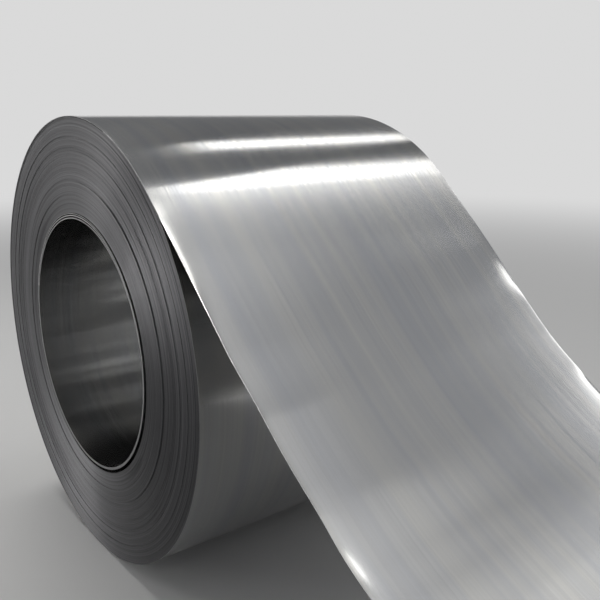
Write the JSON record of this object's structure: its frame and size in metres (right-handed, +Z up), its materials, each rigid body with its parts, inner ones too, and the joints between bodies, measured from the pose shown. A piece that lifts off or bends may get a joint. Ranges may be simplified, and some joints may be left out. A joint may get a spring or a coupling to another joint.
{
  "type": "steel coil",
  "caption": "Coil of cold-rolled steel strip lying on its side, with a round bore for a mandrel and its outer end paid off and run out onto the floor.",
  "frame": {"origin": "centre of the bore, halfway across the strip's width", "axes": "+X along the coil's axis, -Y the way the free end is paid off, +Z up from the floor that the coil and its free end lie on"},
  "size_m": [0.7038, 2.3947, 0.8989],
  "materials": {
    "strip_steel": "cold-rolled, bright and lightly oiled faces, darker slit edges"
  },
  "bodies": {
    "root": {"coil": "strip_steel"}
  },
  "joints": []
}
